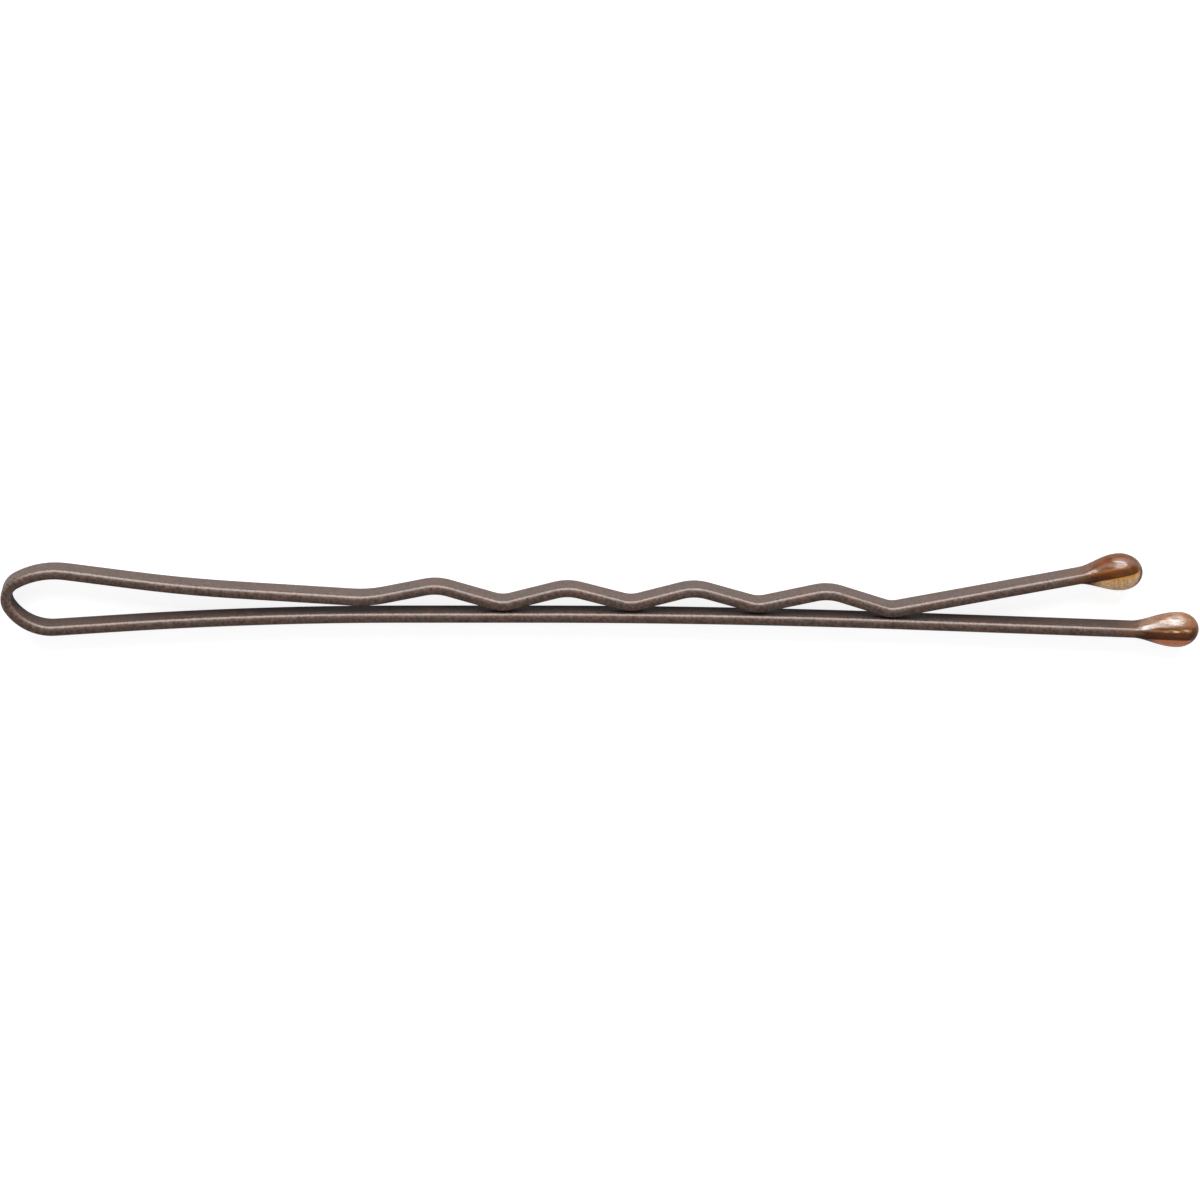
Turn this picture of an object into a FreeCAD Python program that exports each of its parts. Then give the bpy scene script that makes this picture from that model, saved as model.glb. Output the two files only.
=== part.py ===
import FreeCAD, Part
import math
import os

os.makedirs("parts", exist_ok=True)

# A bobby pin: one painted strip of spring steel folded over at its middle, with a
# straight leg, a crimped leg and a drop of resin on each end.
# Lengths are in millimetres. The outline is drawn with X running from the closed end
# towards the tips, Y across the opening and Z across the strip's width. Y is 0 on the
# middle line of the straight leg, and Z is 0 on the middle of the strip.
# The pin lies on its side, so Z is up.

# The strip
strip_width = 1.40
strip_thickness = 0.53
strip_corner_radius = 0.16

# The sprung loop at the closed end. Radii and heights are to the middle of the strip.
loop_nose_radius = 0.95
loop_nose_rise = 0.16
low_shoulder_radius = 2.51
high_shoulder_radius = 4.05
loop_height = 3.00
loop_middle_height = 0.80
flex_line_distance = 6.50

# The straight leg, which runs a little further than the crimped one
root_length = 18.40
straight_root_share = 0.71
straight_root_radius = 210.0
bow_place_share = 0.666
bow_radius = 500.0
straight_tail_drop = 0.88
straight_leg_lead = 3.00

# The crimped leg. Its crimps are placed from the first trough, in shares of the pitch,
# and their heights are the clear gaps over the straight leg.
knee_place_share = 0.50
knee_height = 1.46
knee_radius = 75.0
first_trough_gap = 0.33
first_trough_radius = 6.00
crimp_pitch = 6.55
crimp_gap = 0.05
crimp_height = 0.95
trough_radius = 1.60
hump_radius = 2.40
last_trough_radius = 1.30
trough_place_shares = (1.025, 2.01, 2.98, 4.0)
hump_place_shares = (0.525, 1.525, 2.495, 3.52)
hump_height_shares = (1.09, 0.96, 0.95, 1.015)
tail_length = 11.40
tail_rise = 2.19

# The resin drops: the film that hugs the strip, the cover beside it at the fattest
# place, the length of the neck and how far the strip runs past that place
resin_film = 0.03
wavy_drop_cover = 0.23
wavy_drop_neck = 2.00
wavy_drop_lean = 0.18
straight_drop_cover = 0.18
straight_drop_neck = 2.20
straight_drop_lean = 0.07
drop_nose_share = 1.22
strip_end_run = 0.45
neck_steps = 4
dome_steps = 4
neck_curve_power = 1.5
drop_flat_share = 0.05
pole_share = 0.12

# One overrun serves all cuts
overrun = 2.00


def at(x, y, z=0):
    return FreeCAD.Vector(x, y, z)


def turned(vector, angle):
    """The flat vector turned anticlockwise by an angle in radians."""
    return at(
        vector.x * math.cos(angle) - vector.y * math.sin(angle),
        vector.x * math.sin(angle) + vector.y * math.cos(angle),
    )


def direction(start, end):
    return (end - start).normalize()


def arc_about(centre, radius, first_angle, last_angle):
    """An arc drawn through its middle point."""
    across = at(radius, 0)
    return Part.Arc(
        centre + turned(across, first_angle),
        centre + turned(across, (first_angle + last_angle) / 2),
        centre + turned(across, last_angle),
    ).toShape()


def rounded_run(corners, radii):
    """Straight lines through the corners, with an arc of its own radius at each inner corner."""
    edges = []
    here = corners[0]
    for before, corner, after, radius in zip(corners, corners[1:], corners[2:], radii):
        incoming = direction(before, corner)
        outgoing = direction(corner, after)
        turn = incoming.getAngle(outgoing)
        cut = radius * math.tan(turn / 2)
        start = corner - incoming * cut
        end = corner + outgoing * cut
        inward = (outgoing - incoming).normalize()
        middle = corner + inward * (radius / math.cos(turn / 2) - radius)
        edges.append(Part.LineSegment(here, start).toShape())
        edges.append(Part.Arc(start, middle, end).toShape())
        here = end
    edges.append(Part.LineSegment(here, corners[-1]).toShape())
    return edges


def straight_leg_corners():
    """The straight leg's middle line, from its root to the middle of its resin drop."""
    root = at(root_length * straight_root_share, 0)
    bow = at(root_length + crimp_pitch * trough_place_shares[-1] * bow_place_share, 0)
    end = at(wavy_tip_distance() + straight_leg_lead, -straight_tail_drop)
    return [root, bow, end]


def wavy_tip_distance():
    return root_length + crimp_pitch * trough_place_shares[-1] + tail_length


def straight_leg_height(x):
    """Height of the straight leg's corner line at a distance from the closed end."""
    bow, end = straight_leg_corners()[1:]
    past_bow = max(x - bow.x, 0)
    return bow.y + (end.y - bow.y) * past_bow / (end.x - bow.x)


def over_straight_leg(x, gap):
    """A point of the crimped leg whose lower face clears the straight leg by a gap."""
    return at(x, straight_leg_height(x) + strip_thickness + gap)


def wavy_leg_corners():
    """The crimped leg's middle line, from its knee to the middle of its resin drop."""
    corners = [at(root_length * knee_place_share, knee_height)]
    corners.append(over_straight_leg(root_length, first_trough_gap))
    for hump_place, hump_share, trough_place in zip(hump_place_shares, hump_height_shares, trough_place_shares):
        hump_x = root_length + crimp_pitch * hump_place
        trough_x = root_length + crimp_pitch * trough_place
        corners.append(over_straight_leg(hump_x, crimp_height * hump_share))
        corners.append(over_straight_leg(trough_x, crimp_gap))
    corners.append(corners[-1] + at(tail_length, tail_rise))
    return corners


def wavy_leg_radii():
    radii = [knee_radius, first_trough_radius]
    for _ in hump_place_shares:
        radii.append(hump_radius)
        radii.append(trough_radius)
    radii[-1] = last_trough_radius
    return radii


def shoulder(nose, radius, side):
    """The centre of the wide arc that runs on from the nose, and the angle where the two join.

    The side is -1 for the straight leg's shoulder and 1 for the crimped leg's."""
    centre_height = loop_middle_height + side * (loop_height / 2 - radius)
    step = radius - loop_nose_radius
    blend_angle = math.asin(side * (nose.y - centre_height) / step)
    return at(nose.x + step * math.cos(blend_angle), centre_height), math.pi - side * blend_angle


def tangent_angle(centre, radius, point, side):
    """The angle, about the centre of an arc, where a line from the point touches it."""
    reach = point - centre
    return math.atan2(reach.y, reach.x) + side * math.acos(radius / reach.Length)


def loop_edges(straight_root, wavy_root):
    """The loop from the straight root to the crimped one: a tight nose between two wide shoulders."""
    nose = at(strip_thickness / 2 + loop_nose_radius, loop_middle_height + loop_nose_rise)
    low_centre, low_join = shoulder(nose, low_shoulder_radius, -1)
    high_centre, high_join = shoulder(nose, high_shoulder_radius, 1)
    low_angle = tangent_angle(low_centre, low_shoulder_radius, straight_root, -1)
    high_angle = tangent_angle(high_centre, high_shoulder_radius, wavy_root, 1)
    low_touch = low_centre + turned(at(low_shoulder_radius, 0), low_angle)
    high_touch = high_centre + turned(at(high_shoulder_radius, 0), high_angle)
    edges = [
        arc_about(low_centre, low_shoulder_radius, low_angle, low_join - 2 * math.pi),
        arc_about(nose, loop_nose_radius, low_join, high_join),
        arc_about(high_centre, high_shoulder_radius, high_join, high_angle),
    ]
    return low_touch, edges, high_touch


def run_on(point, before, distance):
    """The strip's end: a point further along the last straight run."""
    return point + direction(before, point) * distance


def strip_route():
    """The middle line of the whole strip, from the straight leg's end to the crimped leg's end."""
    straight = straight_leg_corners()
    wavy = wavy_leg_corners()
    low_touch, loop, high_touch = loop_edges(straight[0], wavy[0])
    straight_end = run_on(straight[-1], straight[-2], strip_end_run)
    wavy_end = run_on(wavy[-1], wavy[-2], strip_end_run)
    straight_run = [straight_end] + straight[-2::-1] + [low_touch]
    wavy_run = [high_touch] + wavy[:-1] + [wavy_end]
    edges = rounded_run(straight_run, [bow_radius, straight_root_radius])
    edges += loop
    edges += rounded_run(wavy_run, wavy_leg_radii())
    return Part.Wire(edges)


def rounded_section(centre, along, half_width, half_thickness, corner):
    """A rounded rectangle square to the strip: its thickness lies across `along`, its width along Z."""
    up = at(0, 0, 1)
    across = up.cross(along)

    def place(thick, wide):
        return centre + across * thick + up * wide

    t = half_thickness - corner
    w = half_width - corner
    d = corner * math.sqrt(0.5)
    edges = []
    for side_t, side_w in ((1, 1), (-1, 1), (-1, -1), (1, -1)):
        long_end = place(side_t * (t + corner), side_w * w)
        middle = place(side_t * (t + d), side_w * (w + d))
        short_end = place(side_t * t, side_w * (w + corner))
        arc_ends = (long_end, short_end) if side_t == side_w else (short_end, long_end)
        if edges:
            edges.append(Part.LineSegment(last, arc_ends[0]).toShape())
        else:
            first = arc_ends[0]
        edges.append(Part.Arc(arc_ends[0], middle, arc_ends[1]).toShape())
        last = arc_ends[1]
    edges.append(Part.LineSegment(last, first).toShape())
    return Part.Wire(edges)


def whole_strip():
    """The section carried along the route, as one bent strip."""
    route = strip_route()
    first = route.OrderedEdges[0]
    start = first.valueAt(first.FirstParameter)
    along = first.tangentAt(first.FirstParameter)
    section = rounded_section(start, along, strip_width / 2, strip_thickness / 2, strip_corner_radius)
    return route.makePipeShell([section], True, False)


def strip_sections(strip):
    """The strip parted along the flex line into the sprung loop and the two legs."""
    box = strip.BoundBox
    depth = box.YLength + 2 * overrun
    width = box.ZLength + 2 * overrun
    corner = at(flex_line_distance, box.YMin - overrun, box.ZMin - overrun)
    beyond = Part.makeBox(box.XMax - flex_line_distance + overrun, depth, width, corner)
    bend = strip.cut(beyond).Solids[0]
    legs = strip.common(beyond).Solids
    straight, wavy = sorted(legs, key=lambda leg: leg.CenterOfMass.y)
    return bend, straight, wavy


def resin_drop(corners, lean_side, cover, neck, lean):
    """A drop that hugs the strip, swells to its fattest place and ends in a rounded nose.

    It leans towards the other leg as it hung while it set.
    """
    along = direction(corners[-2], corners[-1])
    across = at(0, 0, 1).cross(along) * lean_side
    radius = strip_width / 2 + cover
    wires = []

    def add_section(run, half_width, half_thickness, corner):
        centre = corners[-1] + along * run + across * (lean * (1 + run / neck))
        wires.append(rounded_section(centre, along, half_width, half_thickness, corner))

    start_width = strip_width / 2 + resin_film
    start_thickness = strip_thickness / 2 + resin_film
    start_corner = strip_corner_radius + resin_film
    round_share = 1 - drop_flat_share
    for step in range(neck_steps + 1):
        share = step / neck_steps
        growth = math.sin(math.pi / 2 * share) ** neck_curve_power
        add_section(
            neck * (share - 1),
            start_width + (radius - start_width) * growth,
            start_thickness + (radius - start_thickness) * growth,
            start_corner + (radius * round_share - start_corner) * growth,
        )
    last_angle = math.acos(pole_share)
    for step in range(1, dome_steps + 1):
        angle = last_angle * step / dome_steps
        ring = radius * math.cos(angle)
        add_section(radius * drop_nose_share * math.sin(angle), ring, ring, ring * round_share)
    return Part.makeLoft(wires, True, False)


strip = whole_strip()
bend, straight_leg, wavy_leg = strip_sections(strip)
straight_drop = resin_drop(
    straight_leg_corners(), 1, straight_drop_cover, straight_drop_neck, straight_drop_lean
).cut(straight_leg).Solids[0]
wavy_drop = resin_drop(
    wavy_leg_corners(), -1, wavy_drop_cover, wavy_drop_neck, wavy_drop_lean
).cut(wavy_leg).Solids[0]

pieces = {
    "spring_bend": bend,
    "straight_leg": straight_leg,
    "wavy_leg": wavy_leg,
    "straight_leg_tip": straight_drop,
    "wavy_leg_tip": wavy_drop,
}

# The origin is under the middle of the pin as it lies on its side
whole = Part.makeCompound(list(pieces.values())).optimalBoundingBox(False)
to_origin = at(-whole.Center.x, -whole.Center.y, -whole.ZMin)
for name, piece in pieces.items():
    piece = piece.translated(to_origin)
    piece.exportStep(f"parts/{name}.step")
    print(name, piece.ShapeType, "solids", len(piece.Solids), "valid", piece.isValid(), "mm3", round(piece.Volume, 3))
print("size", round(whole.XLength, 3), round(whole.YLength, 3), round(whole.ZLength, 3), "origin at", to_origin)
print("least gap between the legs", round(straight_leg.distToShape(wavy_leg)[0], 3))
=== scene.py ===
# %% [markdown]
# # A bobby pin with two resin drops
#
# The real object is one length of flat spring steel, rolled from round wire, painted
# brown, bent over into a sprung loop and crimped along one leg. Each end was dipped in
# clear amber resin, which set as a drop.
#
# The pin lies on its side. X runs from the closed end to the tips, Y from the straight
# leg to the crimped leg, and Z is up, across the width of the strip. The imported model
# gives the place of everything, so each new piece is made where it belongs.

import math

import bmesh
import bpy
from mathutils import Matrix, Vector


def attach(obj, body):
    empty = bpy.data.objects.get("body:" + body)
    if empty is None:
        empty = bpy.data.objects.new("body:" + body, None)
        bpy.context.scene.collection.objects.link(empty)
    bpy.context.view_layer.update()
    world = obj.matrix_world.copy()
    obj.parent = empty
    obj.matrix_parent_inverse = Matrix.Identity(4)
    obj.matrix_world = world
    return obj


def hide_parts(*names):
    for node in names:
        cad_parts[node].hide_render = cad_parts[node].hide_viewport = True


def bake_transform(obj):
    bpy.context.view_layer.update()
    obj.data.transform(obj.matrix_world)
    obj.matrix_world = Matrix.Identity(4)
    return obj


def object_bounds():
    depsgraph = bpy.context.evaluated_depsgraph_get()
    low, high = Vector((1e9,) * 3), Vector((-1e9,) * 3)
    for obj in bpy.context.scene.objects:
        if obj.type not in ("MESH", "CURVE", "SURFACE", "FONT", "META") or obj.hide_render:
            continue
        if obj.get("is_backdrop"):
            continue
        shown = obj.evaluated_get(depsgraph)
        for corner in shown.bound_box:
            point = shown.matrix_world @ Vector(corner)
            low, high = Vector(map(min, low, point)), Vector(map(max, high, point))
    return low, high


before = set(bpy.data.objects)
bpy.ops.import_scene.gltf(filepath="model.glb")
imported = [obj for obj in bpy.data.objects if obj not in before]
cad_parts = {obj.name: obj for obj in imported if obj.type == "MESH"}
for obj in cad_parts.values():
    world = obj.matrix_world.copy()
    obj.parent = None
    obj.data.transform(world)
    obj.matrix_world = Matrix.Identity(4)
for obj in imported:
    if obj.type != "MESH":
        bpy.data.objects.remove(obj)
cad_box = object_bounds()
print("CAD box", [round(side * 1000, 3) for side in cad_box[1] - cad_box[0]], "mm")

# %% [markdown]
# ## Sizes
#
# A wire former is set up in millimetres, and Blender works in metres here, so every
# length below is written in millimetres and multiplied once. The strip's section is the
# one that gives the photograph its two bands: a wide face seen at a slant, and a narrow
# rounded edge seen nearly square.

# %% The strip's section
MM = 0.001

half_thickness = 0.265 * MM
half_width = 0.70 * MM
edge_rounding = (0.25 * MM, 0.16 * MM)
corner_steps = 8
wide_face_margin = 0.03

middle_height = 0.931043 * MM
print("strip", 2 * half_thickness / MM, "by", 2 * half_width / MM, "mm")

# %% [markdown]
# ## A rounded section
#
# The strip and the drops all start from the same kind of outline, a rectangle with
# rounded corners. It could be typed in as a list of points, but a square with its four
# corners bevelled is quicker to change: the bevel's segments set how round it looks.
# Each vertex keeps a note of the corner it belongs to and of the way it faces there.
# Extruding copies such notes, so later rings can be reshaped without counting vertices.
# The rounding may reach further one way than the other: the strip was rolled from round
# wire, which leaves its narrow edges nearly half round.

# %% Make a section face
def section_face(bm, steps):
    """A rounded square in the XY plane. Its vertices note their corner and their way round it."""
    seat = bm.verts.layers.float_vector.new("corner_seat")
    facing = bm.verts.layers.float_vector.new("corner_facing")
    square = bmesh.ops.create_grid(bm, x_segments=1, y_segments=1, size=1)
    bmesh.ops.bevel(
        bm, geom=square["verts"], offset=0.5, offset_type="OFFSET", affect="VERTICES",
        segments=steps, profile=0.5, material=-1,
    )
    for vert in bm.verts:
        side = Vector((math.copysign(1, vert.co.x), math.copysign(1, vert.co.y), 0))
        vert[seat] = side
        vert[facing] = (vert.co - side / 2).normalized()
    bm.faces.ensure_lookup_table()
    return bm.faces[0], (seat, facing)


def on_section(vert, notes, half_size, rounding):
    """A vertex's place on a section: across its thickness and across its width.

    The rounding says how far a corner's curve reaches along each."""
    seat, facing = vert[notes[0]], vert[notes[1]]
    return [
        seat[i] * (half_size[i] - rounding[i]) + facing[i] * rounding[i] for i in (0, 1)
    ]


def across_strip(heading):
    """The left-hand side of a heading, which is the way the strip's wide face looks."""
    return Vector((-math.sin(heading), math.cos(heading), 0))


def along_strip(heading):
    return Vector((math.cos(heading), math.sin(heading), 0))


def stand_section(place, heading):
    """The matrix that stands a section up across the strip at a place."""
    turn = Matrix((across_strip(heading), (0, 0, 1), along_strip(heading))).transposed()
    return Matrix.Translation(place) @ turn.to_4x4()


# %% [markdown]
# ## The former
#
# The real strip is pushed through a former that feeds it straight and bends it about
# pins. The same two moves exist in Blender: extruding the end face feeds the strip, and
# spinning it about a pin bends it. Sweeping a profile along a curve would be shorter,
# but its rings tilt and its bends turn oval, while a spun bend is a true arc. Long
# stretches get a ring about every millimetre, so that the legs could flex smoothly.

# %% Feed and bend
ring_spacing = 1.0 * MM
ring_turn = math.radians(4)


def faces_of(geometry):
    return [part for part in geometry if isinstance(part, bmesh.types.BMFace)]


def push_out(bm, end):
    """Extrudes the end face and its edges, so no wall stays inside, and gives the new face."""
    pushed = bmesh.ops.extrude_face_region(bm, geom=[end, *end.edges, *end.verts])
    return faces_of(pushed["geom"])[0]


def feed(bm, end, place, heading, length):
    """Pushes the strip straight on."""
    steps = max(1, round(length / ring_spacing))
    for _ in range(steps):
        end = push_out(bm, end)
        bmesh.ops.translate(bm, verts=end.verts, vec=along_strip(heading) * (length / steps))
    return end, place + along_strip(heading) * length


def bend(bm, end, place, heading, radius, turn):
    """Bends the strip about a pin on its left for a positive turn, on its right otherwise."""
    pin = place + across_strip(heading) * math.copysign(radius, turn)
    steps = max(2, round(abs(turn) / ring_turn), round(abs(turn) * radius / ring_spacing))
    spun = bmesh.ops.spin(
        bm, geom=[end, *end.edges, *end.verts], cent=pin, axis=(0, 0, 1), dvec=(0, 0, 0),
        angle=turn, steps=steps, use_duplicate=False,
    )
    end = faces_of(spun["geom_last"])[0]
    return end, pin + Matrix.Rotation(turn, 3, "Z") @ (place - pin), heading + turn


# %% [markdown]
# ## From bends to an object
#
# Each stretch of strip is one closed mesh. Its sides are shaded smooth and its two end
# caps keep a sharp rim, so that where two stretches meet the shading runs straight on.
# The wide faces get a line of vertices close inside each long side, which keeps the
# smooth shading of the rounded corners off the flat face. Wet paint draws back from
# corners, so a note says how squarely each vertex sits on one. The paint reads it for a
# lighter colour there, which is partly thin paint and partly a painted highlight.

# %% Form one stretch of strip
tongue_rings = 8
tongue_last_angle = math.radians(80)


def keep_wide_faces_flat(bm):
    for edge in list(bm.edges):
        first, second = edge.verts
        if abs((first.co - second.co).y) > half_width:
            _, inner = bmesh.utils.edge_split(edge, first, wide_face_margin)
            rest = next(e for e in inner.link_edges if e.other_vert(inner) is second)
            bmesh.utils.edge_split(rest, second, wide_face_margin)


def finish_mesh(bm, name, caps=()):
    """Turns the work into an object that sits at the origin."""
    bmesh.ops.recalc_face_normals(bm, faces=bm.faces)
    for face in bm.faces:
        face.smooth = True
    for face in caps:
        for edge in face.edges:
            edge.smooth = False
    for note in ("corner_seat", "corner_facing"):
        layer = bm.verts.layers.float_vector.get(note)
        if layer:
            bm.verts.layers.float_vector.remove(layer)
    mesh = bpy.data.meshes.new(name)
    bm.to_mesh(mesh)
    bm.free()
    piece = bpy.data.objects.new(name, mesh)
    bpy.context.scene.collection.objects.link(piece)
    print(name, len(mesh.vertices), "vertices", len(mesh.polygons), "faces")
    return piece


def round_off(bm, end, heading, length):
    """Draws the end of the strip out into a tongue that is rounded across its width."""
    level_with_middle = Matrix.Translation((0, 0, -middle_height))
    reach, share = 0, 1
    for step in range(1, tongue_rings + 1):
        angle = tongue_last_angle * step / tongue_rings
        end = push_out(bm, end)
        advance = along_strip(heading) * (length * math.sin(angle) - reach)
        narrower = (1, 1, math.cos(angle) / share)
        bmesh.ops.translate(bm, verts=end.verts, vec=advance)
        bmesh.ops.scale(bm, verts=end.verts, vec=narrower, space=level_with_middle)
        reach, share = length * math.sin(angle), math.cos(angle)


def form_strip(name, place, heading, strokes, tongue=0):
    """Feeds and bends one stretch, and says where the next one goes on."""
    bm = bmesh.new()
    wear_and_highlight = bm.verts.layers.float.new("corner_wear_and_highlight")
    end, notes = section_face(bm, corner_steps)
    for vert in bm.verts:
        # An ellipse's normal is the way round it, divided by its reach along each side.
        looks = Vector([vert[notes[1]][i] / edge_rounding[i] for i in (0, 1)]).normalized()
        # The corner note marks thin paint and also places a painted highlight on the ridges.
        vert[wear_and_highlight] = (2 * abs(looks.x * looks.y)) ** 2
        vert.co.xy = on_section(vert, notes, (half_thickness, half_width), edge_rounding)
    keep_wide_faces_flat(bm)
    bmesh.ops.transform(bm, matrix=stand_section(place, heading), verts=bm.verts)
    for length, radius, turn in strokes:
        if length:
            end, place = feed(bm, end, place, heading, length * MM)
        if turn:
            end, place, heading = bend(bm, end, place, heading, radius * MM, math.radians(turn))
    if tongue:
        round_off(bm, end, heading, tongue)
    caps = [face for face in bm.faces if len(face.verts) > 4]
    return finish_mesh(bm, name, caps), place, heading


# %% [markdown]
# ## The bend list
#
# A former's program is a table: feed so far, then bend about a pin of this radius by so
# many degrees. Radii are to the middle of the strip, and a positive bend goes to the
# left. The loop is formed first, from the straight leg's side round to the crimped
# leg's. Each leg then goes on from its end of the loop. The seams are on straight runs,
# where nobody sees them, and they part the legs from the loop because on the real pin
# the legs flex against it.

# %% The sprung loop
seam_place = Vector((-26.84693 * MM, -1.40659 * MM, middle_height))
seam_heading = math.radians(-176.17029)
loop_strokes = [
    (0.5, 2.51, -60.81381),
    (0, 0.95, -93.96558),
    (0, 4.05, -36.75752),
    (0.2, 0, 0),
]
loop, crimped_seam, crimped_heading = form_strip(
    "painted_loop", seam_place, seam_heading, loop_strokes
)
print("the loop ends at", [round(side / MM, 3) for side in crimped_seam])

# %% [markdown]
# ## The legs
#
# The straight leg only bows a little. The crimped one touches down on it at each
# trough, and lifts off at its end so that hair slides in. Each leg ends in a tongue
# with a rounded outline, because a square corner would poke out of its resin drop.

# %% Both legs
tongue_length = 0.36 * MM
straight_leg_strokes = [
    (2.87555, 210.0, -3.82971),
    (6.26479, 500.0, -2.17686),
    (14.11804, 0, 0),
]
crimped_leg_strokes = [
    (3.18748, 75.0, 3.9758),
    (5.80909, 6.0, 15.32542),
    (2.09713, 2.4, -28.3414),
    (2.36293, 1.6, 31.49353),
    (2.29394, 2.4, -29.9276),
    (2.21841, 1.6, 30.2032),
    (2.18371, 2.4, -31.35879),
    (2.22637, 1.6, 28.77015),
    (2.55424, 2.4, -30.63416),
    (2.31514, 1.3, 29.07539),
    (11.72133, 0, 0),
]
straight_leg, straight_end, _ = form_strip(
    "painted_straight_leg", seam_place, seam_heading + math.pi, straight_leg_strokes,
    tongue_length,
)
print("the straight leg ends at", [round(side / MM, 3) for side in straight_end])
crimped_leg, crimped_end, _ = form_strip(
    "painted_crimped_leg", crimped_seam, crimped_heading, crimped_leg_strokes, tongue_length
)
print("the crimped leg ends at", [round(side / MM, 3) for side in crimped_end])

# %% [markdown]
# ## Where the resin wetted the legs
#
# Dipping leaves a thin stain on the paint just behind each drop. The film is too thin to
# model, so each leg's vertices carry a note of how far inside the wetted stretch they
# lie, and the paint reads it.

# %% Note the wetted stretch
def note_wetting(leg, first, last):
    note = leg.data.attributes.new("resin_wetting", "FLOAT", "POINT")
    for vert, mark in zip(leg.data.vertices, note.data):
        mark.value = min(1, max(0, (vert.co.x - first) / (last - first)))
    print(leg.name, "wetted vertices", sum(mark.value > 0 for mark in note.data))


note_wetting(straight_leg, 25.4 * MM, 26.8 * MM)
note_wetting(crimped_leg, 23.2 * MM, 24.2 * MM)

# %% [markdown]
# ## The resin drops
#
# A dipped end hugs the strip at first, then swells into a ball with a longer nose. Its
# outline changes from the strip's rounded rectangle to a circle, so a lathe can't make
# it. The section face is fed along the leg instead, and each new ring is opened out a
# little more. The last ring is drawn together into one point, so the drop is closed:
# the light inside a clear body is only right when its surface has no holes. Each drop
# follows the heading of its leg's end.
#
# For the finish, each vertex notes the side it looks to, from 0 to 1, and how deep in
# the drop it lies, from 0 at the start to 1 at the fattest place and on to the nose.
#
# The drop is solid resin around the strip's end, without a socket. Two faces in the
# same place would flicker, while an opaque strip that simply runs into the clear body
# looks like one cast into it.

# %% Dip an end
drop_corner_steps = 12
neck_rings = 24
dome_rings = 16
resin_film = 0.004 * MM
round_share = 0.95
nose_share = 1.22
nose_trim = 0.9928
swell_power = 1.5


def open_out(face, notes, centre, heading, half_size, rounding):
    """Moves a ring's vertices onto a section of a new size."""
    for vert in face.verts:
        sideways, upward = on_section(vert, notes, half_size, rounding)
        vert.co = centre + across_strip(heading) * sideways + Vector((0, 0, upward))


def between(start, finish, share):
    return [first + (last - first) * share for first, last in zip(start, finish)]


def dip_drop(name, centre, heading, cover, neck, lean):
    """A drop with its fattest place at the centre. The cover is the resin over the strip's
    narrow edges there, and the drop leans to the left by a length."""
    bm = bmesh.new()
    radius = half_width + cover
    start_size = (half_thickness + resin_film, half_width + resin_film)
    start_rounding = [reach + resin_film for reach in edge_rounding]
    end, notes = section_face(bm, drop_corner_steps)
    side = bm.verts.layers.float.new("resin_side")
    depth = bm.verts.layers.float.new("resin_depth")
    for vert in bm.verts:
        vert[side] = 0.5 + 0.5 * vert[notes[1]].x
    runs = [neck * (step / neck_rings - 1) for step in range(neck_rings + 1)]
    nose = radius * nose_share * nose_trim
    angles = [math.pi / 2 * step / dome_rings for step in range(1, dome_rings)]
    runs += [nose * math.sin(angle) for angle in angles]
    for ring, run in enumerate(runs):
        if ring:
            end = push_out(bm, end)
        swell = math.sin(math.pi / 2 * min(1, 1 + run / neck)) ** swell_power
        size = radius * math.cos(angles[ring - neck_rings - 1]) if run > 0 else radius
        leaned = centre + along_strip(heading) * run
        leaned += across_strip(heading) * (lean * (1 + run / neck))
        half_size = between(start_size, (size, size), swell)
        rounding = between(start_rounding, (size * round_share, size * round_share), swell)
        open_out(end, notes, leaned, heading, half_size, rounding)
        for vert in end.verts:
            vert[depth] = 1 + run / neck
    tip = centre + along_strip(heading) * nose
    tip += across_strip(heading) * (lean * (1 + nose / neck))
    end = push_out(bm, end)
    bmesh.ops.pointmerge(bm, verts=end.verts, merge_co=tip)
    caps = [face for face in bm.faces if len(face.verts) > 4]
    return finish_mesh(bm, name, caps)


# %% Both drops
straight_drop = dip_drop(
    "resin_drop_straight", Vector((28.96348 * MM, -1.62559 * MM, middle_height)),
    math.radians(-2.17686), cover=0.18 * MM, neck=2.20 * MM, lean=0.07 * MM,
)
crimped_drop = dip_drop(
    "resin_drop_crimped", Vector((25.96348 * MM, 1.69178 * MM, middle_height)),
    math.radians(10.87434), cover=0.23 * MM, neck=2.00 * MM, lean=-0.18 * MM,
)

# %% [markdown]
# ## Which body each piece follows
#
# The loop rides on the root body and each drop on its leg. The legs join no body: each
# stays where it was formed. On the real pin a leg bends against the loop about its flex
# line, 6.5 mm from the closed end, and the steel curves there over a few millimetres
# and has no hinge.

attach(loop, "spring_bend")
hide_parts("spring_bend")
for leg, node, seam in (
    (straight_leg, "straight_leg", seam_place),
    (crimped_leg, "wavy_leg", crimped_seam),
):
    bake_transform(leg)
    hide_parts(node)
for drop, body, node in (
    (straight_drop, "straight_leg", "straight_leg_tip"),
    (crimped_drop, "wavy_leg", "wavy_leg_tip"),
):
    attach(drop, body)
    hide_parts(node)

# %% [markdown]
# ## Finishes
#
# A finish here is a small graph of nodes. These helpers add a node, fill its sockets
# with values or links, read a note from the vertices and make a noise at a real size, so
# that the cells below read as a recipe. Noise mostly stays between 0.3 and 0.7, so it is
# stretched over the range that a finish needs.

# %% Helpers for node graphs
noise_spread = (0.3, 0.7)


def new_finish(name):
    finish = bpy.data.materials.new(name)
    finish.use_nodes = True
    return finish, finish.node_tree, finish.node_tree.nodes["Principled BSDF"]


def add_node(tree, kind, **settings):
    node = tree.nodes.new(kind)
    for key, value in settings.items():
        setattr(node, key, value)
    return node


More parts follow.
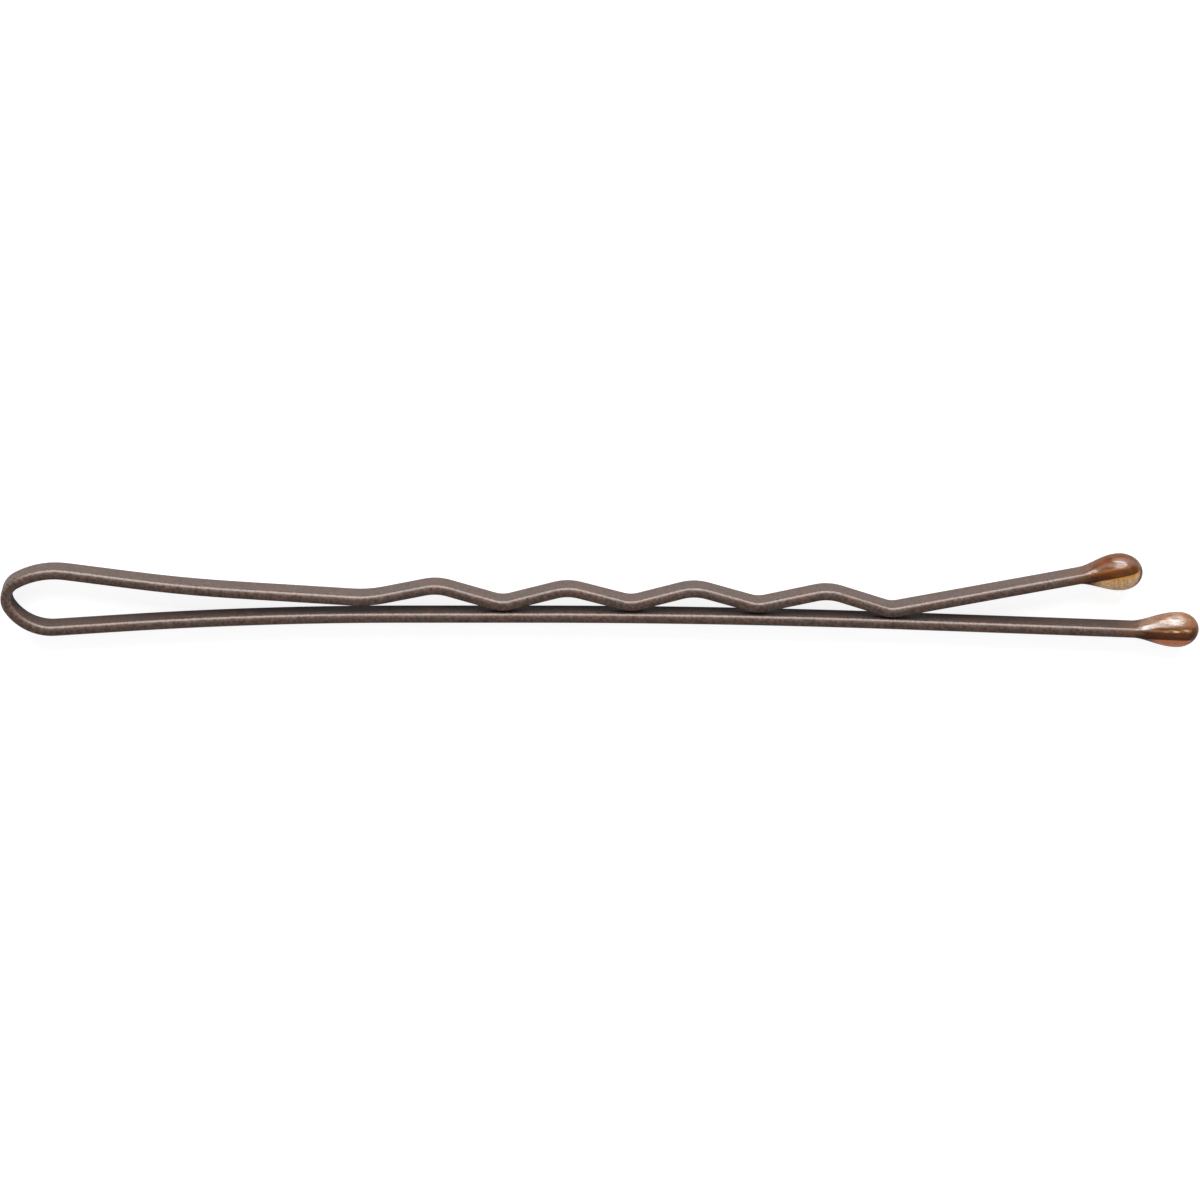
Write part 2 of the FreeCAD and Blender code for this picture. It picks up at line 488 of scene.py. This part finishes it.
def plug_in(tree, node, values):
    """Fills a node's sockets, each with a plain value or with a link from another socket."""
    for name, value in values.items():
        if isinstance(value, bpy.types.NodeSocket):
            tree.links.new(value, node.inputs[name])
        else:
            node.inputs[name].default_value = value


def read_note(tree, name):
    return add_node(tree, "ShaderNodeAttribute", attribute_name=name).outputs["Fac"]


def grain(tree, size, detail=3.0, stretch=(1, 1, 1)):
    """Noise on object coordinates with features of about the given size in metres."""
    place = add_node(tree, "ShaderNodeTexCoord").outputs["Object"]
    spread = add_node(tree, "ShaderNodeMapping")
    plug_in(tree, spread, {"Vector": place, "Scale": stretch})
    noise = add_node(tree, "ShaderNodeTexNoise")
    placed = spread.outputs["Vector"]
    plug_in(tree, noise, {"Vector": placed, "Scale": 1 / size, "Detail": detail})
    return noise.outputs["Fac"]


def spread_range(tree, value, low, high, new_low, new_high):
    """Stretches the part of a value between low and high over a new range."""
    node = add_node(tree, "ShaderNodeMapRange", clamp=True)
    plug_in(tree, node, {
        "Value": value, "From Min": low, "From Max": high, "To Min": new_low, "To Max": new_high,
    })
    return node.outputs["Result"]


def combine(tree, operation, first, second):
    node = add_node(tree, "ShaderNodeMath", operation=operation)
    tree.links.new(first, node.inputs[0])
    tree.links.new(second, node.inputs[1])
    return node.outputs[0]


def times(tree, first, second):
    return combine(tree, "MULTIPLY", first, second)


def mix_colours(tree, share, first, second):
    """Mixes two colours, each an RGB triple or a socket, by a share."""
    node = add_node(tree, "ShaderNodeMix", data_type="RGBA")
    tree.links.new(share, node.inputs["Factor"])
    sockets = [s for s in node.inputs if s.type == "RGBA"]
    for socket, colour in zip(sockets, (first, second)):
        if isinstance(colour, tuple):
            socket.default_value = (*colour, 1)
        else:
            tree.links.new(colour, socket)
    return next(s for s in node.outputs if s.type == "RGBA")


def roughen(tree, shader, height, strength, depth):
    """Lets a value raise and sink the surface by up to a depth in metres."""
    relief = add_node(tree, "ShaderNodeBump")
    plug_in(tree, relief, {"Height": height, "Strength": strength, "Distance": depth})
    plug_in(tree, shader, {"Normal": relief.outputs["Normal"]})


# %% [markdown]
# ## Brown enamel
#
# The paint is a thin satin brown that has flowed off the corners and dried with a fine
# grain. Seen close, it has three layers of change: patches a millimetre across that
# lean to red or to grey, a speckle of a tenth of a millimetre, and a thinner, lighter
# film along the rounded corners, which is partly thin paint and partly a painted
# highlight that brightens and warms the ridges. The speckle also roughens the surface,
# which breaks the long highlight up as on the real strip. The resin has stained the
# paint behind each drop. One even brown would be quicker, but these marks are what
# tells painted steel from plastic.

# %% Mix the enamel
patch_size, speckle_size = 1.3 * MM, 0.14 * MM
warm_brown, grey_brown = (0.114, 0.062, 0.046), (0.096, 0.062, 0.051)
grain_brown, worn_and_highlight_brown = (0.038, 0.024, 0.018), (0.22, 0.152, 0.118)
resin_stain, stain_share = (0.110, 0.046, 0.016), 0.75
enamel_coat = 0.28
coated_ior = 1.5

enamel, tree, paint = new_finish("satin_brown_enamel")
patches = spread_range(tree, grain(tree, patch_size, 2.0), 0.35, 0.65, 0, 1)
speckle = grain(tree, speckle_size, 4.0)
speckle_share = spread_range(tree, speckle, *noise_spread, 0, 1)
warm_or_grey = mix_colours(tree, patches, warm_brown, grey_brown)
grained = mix_colours(tree, speckle_share, grain_brown, warm_or_grey)
broken_film = spread_range(tree, speckle, 0.35, 0.75, 0.1, 0.7)
# Lighter corners: partly thin paint, partly a painted highlight along the ridges.
thin_film_and_highlight = times(tree, read_note(tree, "corner_wear_and_highlight"), broken_film)
worn_and_highlight = mix_colours(tree, thin_film_and_highlight, grained, worn_and_highlight_brown)
stain = spread_range(tree, read_note(tree, "resin_wetting"), 0, 1, 0, stain_share)
plug_in(tree, paint, {
    "Base Color": mix_colours(tree, stain, worn_and_highlight, resin_stain),
    "Roughness": spread_range(tree, speckle, *noise_spread, 0.34, 0.44),
    "IOR": coated_ior,
    "Coat Weight": enamel_coat,
    "Coat Roughness": 0.18,
})
roughen(tree, paint, speckle, 0.35, 0.006 * MM)

for piece in (loop, straight_leg, crimped_leg):
    piece.data.materials.append(enamel)
print(enamel.name, len(tree.nodes), "nodes")

# %% [markdown]
# ## Amber resin
#
# Both drops are clear resin, and each has set with its own tint, one golden and one
# reddish. The tint comes from light being absorbed on its way through the body, so a
# thick place is darker and redder than a thin one. A coloured surface would tint every
# place alike. The real drops are not even, though: their sides differ, partly in tint and
# partly in how the light falls, which is painted into the colour by side, and streaks run
# the way the resin ran. Each vertex notes the side it looks to and how deep in the drop
# it lies, and these helpers turn such a note into a colour or a share. A colour ramp
# only reads values from 0 to 1, so a depth is divided by the deepest one first.

# %% Helpers for the resin
depth_reach = 1.5


def mix_values(tree, share, first, second):
    """Mixes a number into a socket by a share."""
    node = add_node(tree, "ShaderNodeMix")
    plug_in(tree, node, {"Factor": share})
    node.inputs[2].default_value = first
    tree.links.new(second, node.inputs[3])
    return node.outputs[0]


def colour_by(tree, value, stops):
    """A colour that changes over a value, given as pairs of a value and a colour."""
    node = add_node(tree, "ShaderNodeValToRGB")
    marks = node.color_ramp.elements
    while len(marks) < len(stops):
        marks.new(1.0)
    for mark, (position, colour) in zip(marks, stops):
        mark.position = position
        mark.color = (*colour, 1)
    plug_in(tree, node, {"Fac": value})
    return node.outputs["Color"]


def share_by(tree, value, stops):
    """A share that changes over a value, given as pairs of a value and a share."""
    return colour_by(tree, value, [(place, (share, share, share)) for place, share in stops])


def share_by_depth(tree, along, stops):
    return share_by(tree, along, [(place / depth_reach, share) for place, share in stops])


def share_by_place(tree, side, along, side_stops, depth_stops):
    return times(tree, share_by(tree, side, side_stops), share_by_depth(tree, along, depth_stops))


# %% [markdown]
# ## How the resin ran
#
# Dipped resin runs towards the nose, so all its marks are drawn out along X. Its first
# stretch is only a film, and its start is ragged. The film is 0 on the bare paint and 1
# in the drop, and all the resin's effects fade in with it, so the start of the drop's
# mesh doesn't show. A drop that was clear from its first ring would start with a hard
# line across the leg.

# %% Follow the resin
ragged_edge = 0.14
streak_wander = 0.08


def follow_resin(tree, start):
    """Sockets for the side, the depth, the film, the streaks and a streaky depth."""
    side, depth = read_note(tree, "resin_side"), read_note(tree, "resin_depth")
    tears = grain(tree, 0.12 * MM, 3.0, (0.25, 1, 1))
    ragged = spread_range(tree, tears, *noise_spread, -ragged_edge, ragged_edge)
    film = spread_range(tree, combine(tree, "ADD", depth, ragged), *start, 0, 1)
    runs = grain(tree, 0.10 * MM, 3.0, (0.12, 1, 1))
    streaks = spread_range(tree, runs, 0.4, 0.6, 0, 1)
    wander = spread_range(tree, streaks, 0, 1, -streak_wander, streak_wander)
    along = spread_range(tree, combine(tree, "ADD", depth, wander), 0, depth_reach, 0, 1)
    return side, depth, film, streaks, along


# %% [markdown]
# ## Tint
#
# The base colour tints what passes the skin. It starts with a honey colour for each
# side, which is partly the resin's tint and partly painted light: how pale or deep it
# is follows the way the skin faces. The rest is laid over it like glazes: brown veins,
# the pale cloud near the highlight, which is partly a painted highlight, gold flecks,
# dark specks underneath, a brown neck where the resin is thin over the paint, and a
# painted shade over the strip's narrow edge. One colour by side alone would look like
# banded glass. The tint comes in with the fourth power of the film, later than the
# clearness does, because a half clear place in a pale tint would show as a bright ring.

# %% Tint the resin
wetted_paint = (0.108, 0.050, 0.023)
vein_brown = (0.42, 0.19, 0.08)
fleck_gold = (1.00, 0.72, 0.42)
edge_shade_band = [(0.41, 0.0), (0.48, 1.0), (0.58, 1.0), (0.67, 0.0)]


def tint_resin(tree, side, depth, film, cloud_and_highlight, flecks, recipe):
    ripple = grain(tree, 0.2 * MM, 3.0, (0.3, 1, 1))
    waver = spread_range(tree, ripple, *noise_spread, -0.05, 0.05)
    # Colour by side: partly the resin's tint, partly painted light.
    tint_and_light = colour_by(tree, combine(tree, "ADD", side, waver), recipe["honey_and_light_by_side"])
    threads = grain(tree, 0.11 * MM, 2.0, (0.10, 1, 1))
    veins = times(
        tree, spread_range(tree, threads, 0.50, 0.62, 0, 0.36),
        spread_range(tree, side, 0.50, 0.58, 0, 1),
    )
    specks = times(
        tree, spread_range(tree, grain(tree, 0.09 * MM, 2.0), 0.42, 0.58, 0, 1),
        spread_range(tree, side, 0.36, 0.46, 1, 0.15),
    )
    neck = times(
        tree, spread_range(tree, side, 0.42, 0.52, 1, 0), spread_range(tree, depth, 0.3, 0.6, 1, 0)
    )
    # Painted shade: the neck's brown darkens the resin over the strip's narrow edge.
    edge = times(
        tree, share_by(tree, side, edge_shade_band), spread_range(tree, depth, 0.40, 0.95, 0.75, 0)
    )
    for share, glaze in (
        (veins, vein_brown), (cloud_and_highlight, recipe["cloud_and_highlight_colour"]), (flecks, fleck_gold),
        (specks, recipe["specks"]), (neck, recipe["neck"]), (edge, recipe["neck"]),
    ):
        tint_and_light = mix_colours(tree, share, tint_and_light, glaze)
    squared = times(tree, film, film)
    return mix_colours(tree, times(tree, squared, squared), wetted_paint, tint_and_light)


# %% [markdown]
# ## Clearness and shine
#
# A resin that sets in damp air turns a little milky. The haze is the share of the skin
# that scatters light and lets none through: most on the side that looks up in the
# photograph, in the cloud and at the flecks. On that side, towards the lamp, the haze and
# the cloud are partly milky resin and partly a painted highlight that spreads the lamp's
# reflection. The shine fades in and out along the drop, as on the real ones, where one
# soft spot near the fattest place is brightest. A smooth clear body alone would mirror
# the whole lamp in one hard streak.

# %% Clear it and make it shine
fleck_haze = 0.30


def clear_resin(tree, side, film, streaks, cloud_and_highlight, flecks, recipe):
    # Haze and cloud on the lamp's side: partly milky resin, partly a painted highlight.
    milky_and_highlight = spread_range(tree, cloud_and_highlight, 0, 1, 0, recipe["cloud_and_highlight_haze"])
    haze_and_highlight = combine(tree, "ADD", share_by(tree, side, recipe["haze_and_highlight"]), milky_and_highlight)
    haze_and_highlight = combine(tree, "ADD", haze_and_highlight, spread_range(tree, flecks, 0, 1, 0, fleck_haze))
    haze_and_highlight = times(tree, haze_and_highlight, spread_range(tree, streaks, 0, 1, 0.6, 1.4))
    return times(tree, film, spread_range(tree, haze_and_highlight, 0, 1, 1, 0))


def coat_resin(tree, side, film, streaks, shine):
    gloss = times(tree, shine, spread_range(tree, streaks, 0, 1, 0.95, 0.2))
    gloss = times(tree, gloss, spread_range(tree, side, 0.93, 0.98, 1, 0.25))
    return mix_values(tree, film, enamel_coat, gloss)


# %% [markdown]
# ## One pour
#
# A pour puts these steps together for one drop. Two things are the same in both: the
# colour that the body absorbs, and a ripple in the skin, which is drawn out along the
# leg like the streaks.

# %% Cast the resin
amber_body = (0.86, 0.64, 0.30, 1)
amber_density = 1000
enamel_roughness = 0.39
fleck_side = [(0.53, 0.0), (0.57, 1.0), (0.615, 1.0), (0.65, 0.0)]
fleck_depth = [(0.60, 0.0), (0.85, 1.0), (1.30, 1.0), (1.42, 0.0)]


def cast_resin(name, recipe):
    resin, tree, body = new_finish(name)
    side, depth, film, streaks, along = follow_resin(tree, recipe["start"])
    # The cloud is partly milky resin and partly a painted highlight beside the lamp's reflection.
    cloud_and_highlight = share_by_place(tree, side, along, recipe["cloud_and_highlight_side"], recipe["cloud_and_highlight_depth"])
    dashes = grain(tree, 0.2 * MM, 2.0, (0.6, 1, 1))
    flecks = times(
        tree, spread_range(tree, dashes, 0.48, 0.56, 0, recipe["gilding"]),
        share_by_place(tree, side, along, fleck_side, fleck_depth),
    )
    dull = spread_range(tree, grain(tree, 0.15 * MM, 2.0), *noise_spread, *recipe["dullness"])
    shine = share_by_depth(tree, along, recipe["shine"])
    plug_in(tree, body, {
        "Base Color": tint_resin(tree, side, depth, film, cloud_and_highlight, flecks, recipe),
        "Transmission Weight": clear_resin(tree, side, film, streaks, cloud_and_highlight, flecks, recipe),
        "Roughness": mix_values(tree, film, enamel_roughness, dull),
        "Specular Tint": shine,
        "Coat Weight": coat_resin(tree, side, film, streaks, shine),
        "Coat Roughness": 0.14,
        "IOR": coated_ior,
    })
    roughen(tree, body, grain(tree, 0.16 * MM, 3.0, (0.12, 1, 1)), 0.5, 0.010 * MM)
    absorb = add_node(tree, "ShaderNodeVolumeAbsorption")
    plug_in(tree, absorb, {"Color": amber_body, "Density": amber_density})
    output = next(node for node in tree.nodes if node.type == "OUTPUT_MATERIAL")
    plug_in(tree, output, {"Volume": absorb.outputs["Volume"]})
    print(name, len(tree.nodes), "nodes")
    return resin


# %% [markdown]
# ## The two recipes
#
# Each list pairs a place with a colour or a share. In the photograph a side of 0 looks
# down and a side of 1 looks up. A depth of 0 is the drop's start, 1 is its fattest place
# and about 1.5 is its nose. The golden drop is clear and speckled on its lower side, and
# the reddish one has more of the pale cloud, which is partly milky resin and partly a
# painted highlight.

# %% The golden resin
golden_resin = cast_resin("amber_resin_golden", {
    "start": (-0.02, 0.30),
    # Colours by side: partly the resin's tint, partly painted light.
    "honey_and_light_by_side": [
        (0.05, (0.70, 0.66, 0.72)),
        (0.25, (0.90, 0.86, 0.88)),
        (0.38, (1.00, 0.98, 0.88)),
        (0.47, (1.00, 0.58, 0.12)),
        (0.55, (1.00, 0.50, 0.15)),
        (0.76, (1.00, 0.50, 0.17)),
        (0.90, (1.00, 0.50, 0.24)),
        (0.96, (1.00, 0.46, 0.20)),
        (0.99, (0.94, 0.34, 0.12)),
    ],
    "haze_and_highlight": [(0.78, 0.02), (0.90, 0.06), (0.99, 0.05)],
    "cloud_and_highlight_side": [(0.74, 0.0), (0.82, 1.0), (0.93, 1.0), (0.985, 0.0)],
    "cloud_and_highlight_depth": [(0.82, 0.05), (1.00, 1.0), (1.20, 0.6), (1.45, 0.3)],
    "cloud_and_highlight_colour": (1.00, 0.80, 0.72),
    "cloud_and_highlight_haze": 0.08,
    "shine": [
        (0.30, 0.9), (0.48, 0.25), (0.60, 0.10), (0.78, 0.12), (0.90, 0.50), (1.00, 0.85),
        (1.40, 0.4),
    ],
    "specks": (0.50, 0.45, 0.40),
    # The neck colour is also the painted shade over the strip's narrow edge.
    "neck": (0.26, 0.15, 0.10),
    "dullness": (0.13, 0.20),
    "gilding": 0,
})

# %% The reddish resin
reddish_resin = cast_resin("amber_resin_reddish", {
    "start": (-0.02, 0.19),
    # Colours by side: partly the resin's tint, partly painted light.
    "honey_and_light_by_side": [
        (0.10, (0.80, 0.32, 0.26)),
        (0.26, (0.52, 0.24, 0.20)),
        (0.36, (0.54, 0.26, 0.13)),
        (0.53, (0.66, 0.38, 0.19)),
        (0.60, (0.85, 0.50, 0.24)),
        (0.68, (0.82, 0.48, 0.22)),
        (0.73, (1.00, 0.64, 0.34)),
        (0.80, (1.00, 0.66, 0.40)),
        (0.92, (1.00, 0.60, 0.34)),
        (0.98, (0.90, 0.44, 0.19)),
    ],
    "haze_and_highlight": [
        (0.56, 0.02), (0.62, 0.05), (0.73, 0.05), (0.80, 0.08), (0.95, 0.14), (0.99, 0.14)
    ],
    "cloud_and_highlight_side": [(0.69, 0.0), (0.79, 1.0), (0.93, 0.9), (0.985, 0.25)],
    "cloud_and_highlight_depth": [
        (0.02, 1.0), (0.32, 1.0), (0.62, 0.5), (0.92, 1.0), (1.05, 0.8), (1.20, 0.1), (1.45, 0.0)
    ],
    "cloud_and_highlight_colour": (1.00, 0.96, 0.94),
    "cloud_and_highlight_haze": 0.24,
    "shine": [
        (0.10, 0.9), (0.28, 0.36), (0.60, 0.27), (0.85, 0.34), (1.05, 0.42), (1.22, 0.08),
        (1.45, 0.10),
    ],
    "specks": (0.60, 0.34, 0.30),
    # The neck colour is also the painted shade over the strip's narrow edge.
    "neck": (0.36, 0.20, 0.16),
    "dullness": (0.18, 0.24),
    "gilding": 1,
})

for piece, resin in ((straight_drop, reddish_resin), (crimped_drop, golden_resin)):
    piece.data.materials.append(resin)

# %% [markdown]
# ## Floor and light
#
# The photograph is a studio shot on pure white. A Light Path node tells how a ray got to
# the floor or the sky, so each kind of ray can find its own strength there. Seen
# directly or through the resin, both read as white. Mirrored in the paint, the floor
# gives nothing and the sky little, so the paint stays dark between its highlights, and
# matt places get a plain soft light from the sky. A brighter lamp would whiten the floor
# too, but it would bleach the pin. One oval lamp on the crimped leg's side draws the
# long highlights and casts the soft shadow that the floor keeps.

# %% Lay the floor
floor_size = 1.5
floor_grey = (0.42, 0.42, 0.42, 1)
floor_bm = bmesh.new()
bmesh.ops.create_grid(floor_bm, x_segments=1, y_segments=1, size=floor_size)
floor = finish_mesh(floor_bm, "floor")
floor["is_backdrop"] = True


def seen_light(tree, direct, mirrored, through, scattered):
    """A strength for each kind of ray: straight from the camera, off a gloss, through a
    clear body, or off a matt place."""
    path = add_node(tree, "ShaderNodeLightPath")
    total = spread_range(tree, path.outputs["Is Glossy Ray"], 0, 1, scattered, mirrored)
    for ray, share in (("Is Camera Ray", direct), ("Is Transmission Ray", through)):
        seen = spread_range(tree, path.outputs[ray], 0, 1, 0, share)
        total = combine(tree, "MAXIMUM", total, seen)
    return total


floor_finish, tree, pale = new_finish("pale_floor")
plug_in(tree, pale, {
    "Base Color": floor_grey,
    "Roughness": 1.0,
    "Specular IOR Level": 0.0,
    "Emission Color": (1, 1, 1, 1),
    "Emission Strength": seen_light(tree, 0.82, 0, 0.70, 0),
})
floor.data.materials.append(floor_finish)

# %% Light it
world = bpy.data.worlds.new("studio")
bpy.context.scene.world = world
world.use_nodes = True
tree = world.node_tree
plug_in(tree, tree.nodes["Background"], {
    "Color": (1, 1, 1, 1),
    "Strength": seen_light(tree, 1.0, 0.12, 1.0, 0.42),
})


def softbox(name, place, wide, tall, power):
    """An oval lamp that looks at the pin."""
    lamp = bpy.data.lights.new(name, "AREA")
    lamp.shape = "ELLIPSE"
    lamp.size, lamp.size_y = wide, tall
    lamp.energy = power
    box = bpy.data.objects.new(name, lamp)
    box.location = place
    box.rotation_euler = (-Vector(place)).to_track_quat("-Z", "Y").to_euler()
    bpy.context.scene.collection.objects.link(box)
    print(name, wide, "by", tall, "m", power, "W")


softbox("back_softbox", (0, 0.384, 0.171), 0.56, 0.46, 4.6)

# %% [markdown]
# ## Camera
#
# The photograph looks nearly straight down on the pin, leaning 19.5 degrees towards the
# crimped leg, through a long lens with almost no perspective. Its frame is 60.15 mm
# wide where the pin lies, so the lens and that width give the distance.

# %% Set the camera
camera_lean = math.radians(19.5)
frame_width = 60.15 * MM
sensor_width = 36.0
lens = 200.0
aim = Vector((-0.027 * MM, 0.0064 * MM, middle_height))
back = Vector((0, math.sin(camera_lean), math.cos(camera_lean)))
upward = Vector((0, math.cos(camera_lean), -math.sin(camera_lean)))
camera = bpy.data.objects.new("camera", bpy.data.cameras.new("camera"))
camera.data.sensor_width = sensor_width
camera.data.lens = lens
turn = Matrix((Vector((1, 0, 0)), upward, back)).transposed().to_4x4()
distance = frame_width * lens / sensor_width
camera.matrix_world = Matrix.Translation(aim + back * distance) @ turn
bpy.context.scene.collection.objects.link(camera)
bpy.context.scene.camera = camera
bpy.context.scene.view_settings.view_transform = "Standard"
print("the camera stands", round(distance / MM), "mm away")

# %% Compare the boxes
bpy.context.view_layer.update()
seen_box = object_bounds()
for low_or_high, cad, seen in zip(("lowest", "highest"), cad_box, seen_box):
    shown = [[round(side / MM, 3) for side in corner] for corner in (cad, seen)]
    print(low_or_high, "CAD", shown[0], "seen", shown[1])
